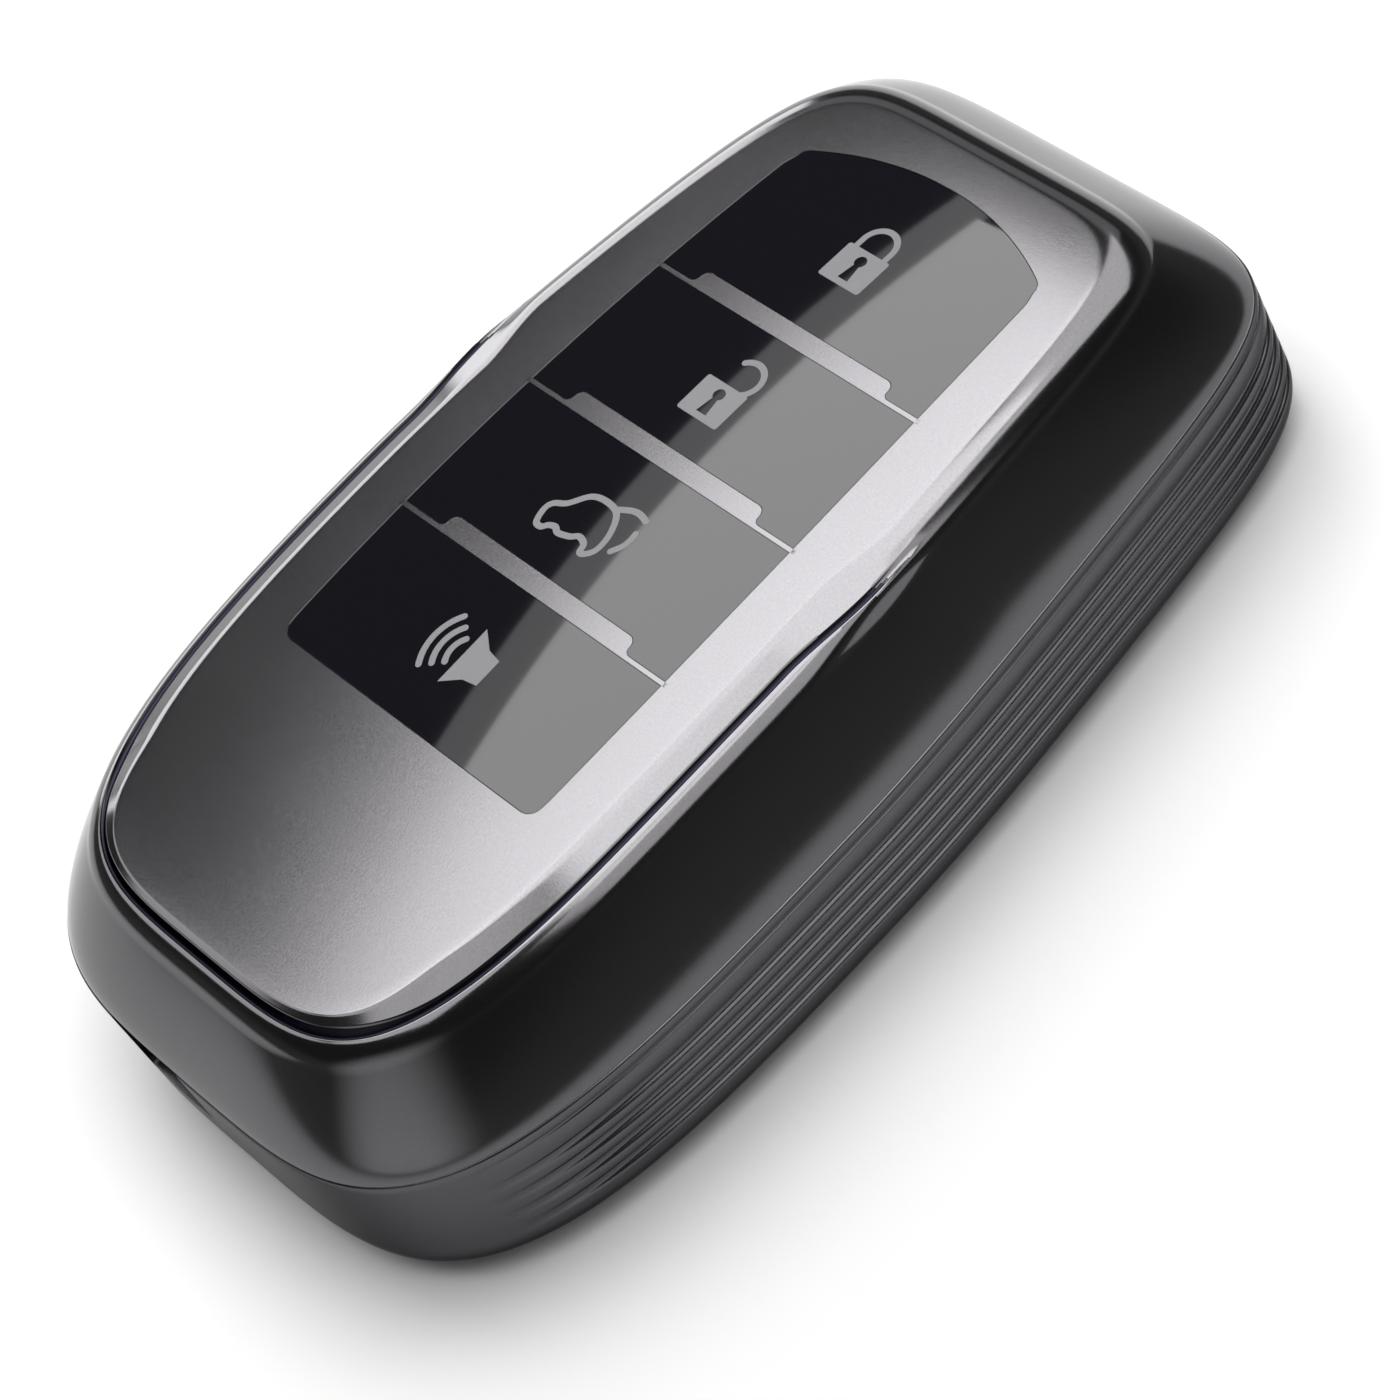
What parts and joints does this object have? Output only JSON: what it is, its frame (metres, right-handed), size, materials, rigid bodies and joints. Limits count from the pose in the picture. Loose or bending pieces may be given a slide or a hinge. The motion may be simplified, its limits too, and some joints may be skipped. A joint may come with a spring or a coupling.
{
  "type": "key fob cover",
  "caption": "Split protective cover for a smart key fob, with a raised tongue face, sprung cover keys with inlaid icons, a ribbed rear shell and a key ring slot.",
  "frame": {"origin": "middle of the bounding box at its lowest face, the flat back of the rear shell", "axes": "+Z out of the keys, +Y along the cover towards the lock key, +X to the right when the keys are seen with +Y up"},
  "size_m": [0.0462, 0.08, 0.0203],
  "materials": {
    "shell_paint": "satin gunmetal metallic paint",
    "rear_paint": "satin dark gunmetal metallic paint",
    "key_gloss": "high gloss black",
    "icon_silver": "satin silver inlay",
    "silicone": "matt black silicone",
    "plate_plastic": "matt dark grey",
    "screw_steel": "turned steel",
    "pad_foam": "soft black lining"
  },
  "bodies": {
    "rear": {"rear_shell": "rear_paint", "rear_pad": "pad_foam", "ring_post": "screw_steel"},
    "front": {"front_shell": "shell_paint", "keypad_mat": "silicone", "dome_alarm": "silicone", "dome_tailgate": "silicone", "dome_unlock": "silicone", "dome_lock": "silicone", "retainer_plate": "plate_plastic", "retainer_screws": "screw_steel", "plate_pads": "pad_foam"},
    "alarm_key": {"key_alarm": "key_gloss", "icon_alarm": "icon_silver"},
    "tailgate_key": {"key_tailgate": "key_gloss", "icon_tailgate": "icon_silver"},
    "unlock_key": {"key_unlock": "key_gloss", "icon_unlock": "icon_silver"},
    "lock_key": {"key_lock": "key_gloss", "icon_lock": "icon_silver"}
  },
  "joints": [
    {"name": "front_lift", "type": "slide", "parent": "rear", "child": "front", "axis": [0, 0, 1], "range_m": [0, 0.025]},
    {"name": "alarm_press", "type": "slide", "parent": "front", "child": "alarm_key", "axis": [0, 0, -1], "range_m": [0, 0.00045], "stiffness_N_per_m": 1500, "springref_m": -0.0003, "deforming": ["dome_alarm"]},
    {"name": "tailgate_press", "type": "slide", "parent": "front", "child": "tailgate_key", "axis": [0, 0, -1], "range_m": [0, 0.00045], "stiffness_N_per_m": 1500, "springref_m": -0.0003, "deforming": ["dome_tailgate"]},
    {"name": "unlock_press", "type": "slide", "parent": "front", "child": "unlock_key", "axis": [0, 0, -1], "range_m": [0, 0.00045], "stiffness_N_per_m": 1500, "springref_m": -0.0003, "deforming": ["dome_unlock"]},
    {"name": "lock_press", "type": "slide", "parent": "front", "child": "lock_key", "axis": [0, 0, -1], "range_m": [0, 0.00045], "stiffness_N_per_m": 1500, "springref_m": -0.0003, "deforming": ["dome_lock"]}
  ]
}
